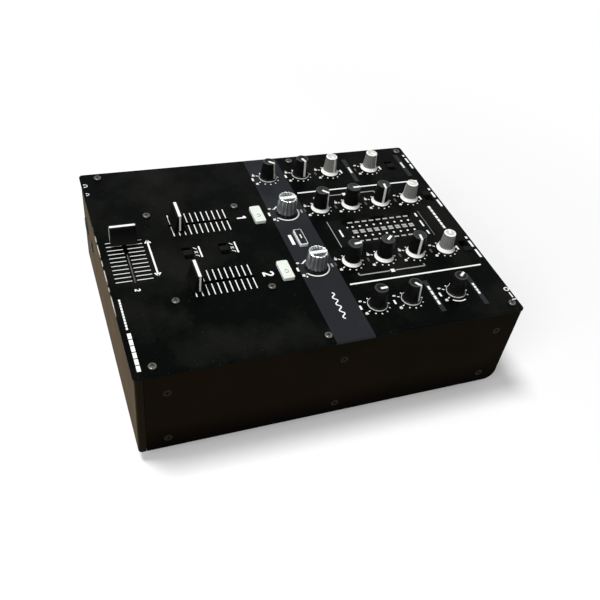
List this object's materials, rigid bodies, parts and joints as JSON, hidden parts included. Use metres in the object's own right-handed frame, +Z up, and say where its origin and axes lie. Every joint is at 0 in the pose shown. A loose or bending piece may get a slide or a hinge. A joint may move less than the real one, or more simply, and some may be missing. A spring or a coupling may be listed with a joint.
{
  "type": "dj mixer",
  "caption": "Low black tabletop DJ mixer with rows of rotary knobs, channel faders, a crossfader, cue buttons, slide switches and a light meter; knobs, faders, buttons and switches move.",
  "frame": {"origin": "on the table under the middle of the whole footprint, rear sockets included", "axes": "+X to the user's right, +Y to the back where the sockets are, +Z up"},
  "size_m": [0.23, 0.3032, 0.1079],
  "materials": {
    "grey_knob": "fine grain",
    "silver_knob": "silver plated",
    "black_knob": "soft satin",
    "fader_cap": "satin",
    "carriage": "plain",
    "switch_lever": "satin",
    "button": "satin",
    "filter_button": "satin",
    "painted_case": "black powder coat",
    "tray_steel": "black powder coat",
    "rubber": "matt",
    "screws": "blackened steel",
    "circuit_board": "board lacquer",
    "bare_aluminium": "turned",
    "plated_steel": "zinc plated",
    "black_plastic": "moulded",
    "meter_pane": "smoked gloss",
    "light_guide": "milky",
    "nickel": "nickel plated",
    "insert": "moulded",
    "ribbon": "plain"
  },
  "bodies": {
    "case": {"top_panel": "painted_case", "side_panel_left": "painted_case", "side_panel_right": "painted_case", "front_panel": "painted_case", "rear_panel": "painted_case", "bottom_tray": "tray_steel", "rubber_feet": "rubber", "pan_head_screws": "screws", "countersunk_screws": "screws", "control_board": "circuit_board", "jack_board": "circuit_board", "power_supply": "circuit_board", "standoffs": "bare_aluminium", "pots": "plated_steel", "fader_plate": "plated_steel", "fader_frames": "plated_steel", "slide_switch_bodies": "black_plastic", "meter_window": "meter_pane", "meter_light_guides": "light_guide", "rca_jacks": "nickel", "rca_inserts": "insert", "xlr_sockets": "black_plastic", "jack_sockets": "black_plastic", "mains_inlet": "black_plastic", "power_switch_housing": "black_plastic", "usb_port": "plated_steel", "ground_terminal": "nickel", "ribbon_cable": "ribbon"},
    "knob_aux_level": {"knob_aux_level": "grey_knob"},
    "knob_mic_level": {"knob_mic_level": "grey_knob"},
    "knob_mic_high": {"knob_mic_high": "black_knob"},
    "knob_mic_low": {"knob_mic_low": "black_knob"},
    "knob_master_level": {"knob_master_level": "black_knob"},
    "knob_phones_mix": {"knob_phones_mix": "black_knob"},
    "knob_phones_level": {"knob_phones_level": "black_knob"},
    "knob_trim_1": {"knob_trim_1": "grey_knob"},
    "knob_high_1": {"knob_high_1": "black_knob"},
    "knob_mid_1": {"knob_mid_1": "black_knob"},
    "knob_low_1": {"knob_low_1": "black_knob"},
    "knob_colour_1": {"knob_colour_1": "silver_knob"},
    "knob_trim_2": {"knob_trim_2": "grey_knob"},
    "knob_high_2": {"knob_high_2": "black_knob"},
    "knob_mid_2": {"knob_mid_2": "black_knob"},
    "knob_low_2": {"knob_low_2": "black_knob"},
    "knob_colour_2": {"knob_colour_2": "silver_knob"},
    "channel_fader_1": {"channel_fader_1_cap": "fader_cap", "channel_fader_1_carriage": "carriage"},
    "channel_fader_2": {"channel_fader_2_cap": "fader_cap", "channel_fader_2_carriage": "carriage"},
    "crossfader": {"crossfader_cap": "fader_cap", "crossfader_carriage": "carriage"},
    "input_switch_1": {"input_switch_1": "switch_lever"},
    "input_switch_2": {"input_switch_2": "switch_lever"},
    "aux_switch": {"aux_switch": "switch_lever"},
    "channel_curve_switch": {"channel_curve_switch": "switch_lever"},
    "cross_curve_switch": {"cross_curve_switch": "switch_lever"},
    "cue_button_1": {"cue_button_1": "button"},
    "cue_button_2": {"cue_button_2": "button"},
    "filter_button": {"filter_button": "filter_button"},
    "power_rocker": {"power_rocker": "black_plastic"}
  },
  "joints": [
    {"name": "knob_aux_level_turn", "type": "hinge", "parent": "case", "child": "knob_aux_level", "pos_m": [-0.0855, 0.09965, 0.0894], "axis": [0, 0, 1], "range_deg": [-107, 193]},
    {"name": "knob_mic_level_turn", "type": "hinge", "parent": "case", "child": "knob_mic_level", "pos_m": [-0.0855, 0.06085, 0.0894], "axis": [0, 0, 1], "range_deg": [-78, 222]},
    {"name": "knob_mic_high_turn", "type": "hinge", "parent": "case", "child": "knob_mic_high", "pos_m": [-0.0855, 0.03285, 0.0894], "axis": [0, 0, 1], "range_deg": [-73, 227]},
    {"name": "knob_mic_low_turn", "type": "hinge", "parent": "case", "child": "knob_mic_low", "pos_m": [-0.0855, 0.00265, 0.0894], "axis": [0, 0, 1], "range_deg": [-105, 195]},
    {"name": "knob_master_level_turn", "type": "hinge", "parent": "case", "child": "knob_master_level", "pos_m": [0.0855, 0.09965, 0.0894], "axis": [0, 0, 1], "range_deg": [-188, 112]},
    {"name": "knob_phones_mix_turn", "type": "hinge", "parent": "case", "child": "knob_phones_mix", "pos_m": [0.0855, 0.06085, 0.0894], "axis": [0, 0, 1], "range_deg": [-92, 208]},
    {"name": "knob_phones_level_turn", "type": "hinge", "parent": "case", "child": "knob_phones_level", "pos_m": [0.0855, 0.03285, 0.0894], "axis": [0, 0, 1], "range_deg": [-150, 150]},
    {"name": "knob_trim_1_turn", "type": "hinge", "parent": "case", "child": "knob_trim_1", "pos_m": [-0.0353, 0.11685, 0.0894], "axis": [0, 0, 1], "range_deg": [-300, 0]},
    {"name": "knob_high_1_turn", "type": "hinge", "parent": "case", "child": "knob_high_1", "pos_m": [-0.0353, 0.08885, 0.0894], "axis": [0, 0, 1], "range_deg": [-53, 247]},
    {"name": "knob_mid_1_turn", "type": "hinge", "parent": "case", "child": "knob_mid_1", "pos_m": [-0.0353, 0.06085, 0.0894], "axis": [0, 0, 1], "range_deg": [-150, 150]},
    {"name": "knob_low_1_turn", "type": "hinge", "parent": "case", "child": "knob_low_1", "pos_m": [-0.0353, 0.03285, 0.0894], "axis": [0, 0, 1], "range_deg": [-101, 199]},
    {"name": "knob_colour_1_turn", "type": "hinge", "parent": "case", "child": "knob_colour_1", "pos_m": [-0.0353, 0.00265, 0.0894], "axis": [0, 0, 1], "range_deg": [-150, 150]},
    {"name": "knob_trim_2_turn", "type": "hinge", "parent": "case", "child": "knob_trim_2", "pos_m": [0.0353, 0.11685, 0.0894], "axis": [0, 0, 1], "range_deg": [-220, 80]},
    {"name": "knob_high_2_turn", "type": "hinge", "parent": "case", "child": "knob_high_2", "pos_m": [0.0353, 0.08885, 0.0894], "axis": [0, 0, 1], "range_deg": [-50, 250]},
    {"name": "knob_mid_2_turn", "type": "hinge", "parent": "case", "child": "knob_mid_2", "pos_m": [0.0353, 0.06085, 0.0894], "axis": [0, 0, 1], "range_deg": [-190, 110]},
    {"name": "knob_low_2_turn", "type": "hinge", "parent": "case", "child": "knob_low_2", "pos_m": [0.0353, 0.03285, 0.0894], "axis": [0, 0, 1], "range_deg": [-155, 145]},
    {"name": "knob_colour_2_turn", "type": "hinge", "parent": "case", "child": "knob_colour_2", "pos_m": [0.0353, 0.00265, 0.0894], "axis": [0, 0, 1], "range_deg": [-150, 150]},
    {"name": "channel_fader_1_slide", "type": "slide", "parent": "case", "child": "channel_fader_1", "axis": [0, 1, 0], "range_m": [-0.0052, 0.0398]},
    {"name": "channel_fader_2_slide", "type": "slide", "parent": "case", "child": "channel_fader_2", "axis": [0, 1, 0], "range_m": [-0.003, 0.042]},
    {"name": "crossfader_slide", "type": "slide", "parent": "case", "child": "crossfader", "axis": [1, 0, 0], "range_m": [0, 0.045]},
    {"name": "input_switch_1_slide", "type": "slide", "parent": "case", "child": "input_switch_1", "axis": [1, 0, 0], "range_m": [0, 0.008]},
    {"name": "input_switch_2_slide", "type": "slide", "parent": "case", "child": "input_switch_2", "axis": [1, 0, 0], "range_m": [-0.008, 0]},
    {"name": "aux_switch_slide", "type": "slide", "parent": "case", "child": "aux_switch", "axis": [1, 0, 0], "range_m": [-0.004, 0.004]},
    {"name": "channel_curve_switch_slide", "type": "slide", "parent": "case", "child": "channel_curve_switch", "axis": [1, 0, 0], "range_m": [-0.004, 0.004]},
    {"name": "cross_curve_switch_slide", "type": "slide", "parent": "case", "child": "cross_curve_switch", "axis": [1, 0, 0], "range_m": [-0.004, 0.004]},
    {"name": "cue_button_1_slide", "type": "slide", "parent": "case", "child": "cue_button_1", "axis": [0, 0, -1], "range_m": [0, 0.0012], "stiffness_N_per_m": 250, "springref_m": -0.0008},
    {"name": "cue_button_2_slide", "type": "slide", "parent": "case", "child": "cue_button_2", "axis": [0, 0, -1], "range_m": [0, 0.0012], "stiffness_N_per_m": 250, "springref_m": -0.0008},
    {"name": "filter_button_slide", "type": "slide", "parent": "case", "child": "filter_button", "axis": [0, 0, -1], "range_m": [0, 0.0012], "stiffness_N_per_m": 250, "springref_m": -0.0008},
    {"name": "power_rocker_turn", "type": "hinge", "parent": "case", "child": "power_rocker", "pos_m": [0.098, 0.14135, 0.057], "axis": [1, 0, 0], "range_deg": [-16, 0]}
  ]
}
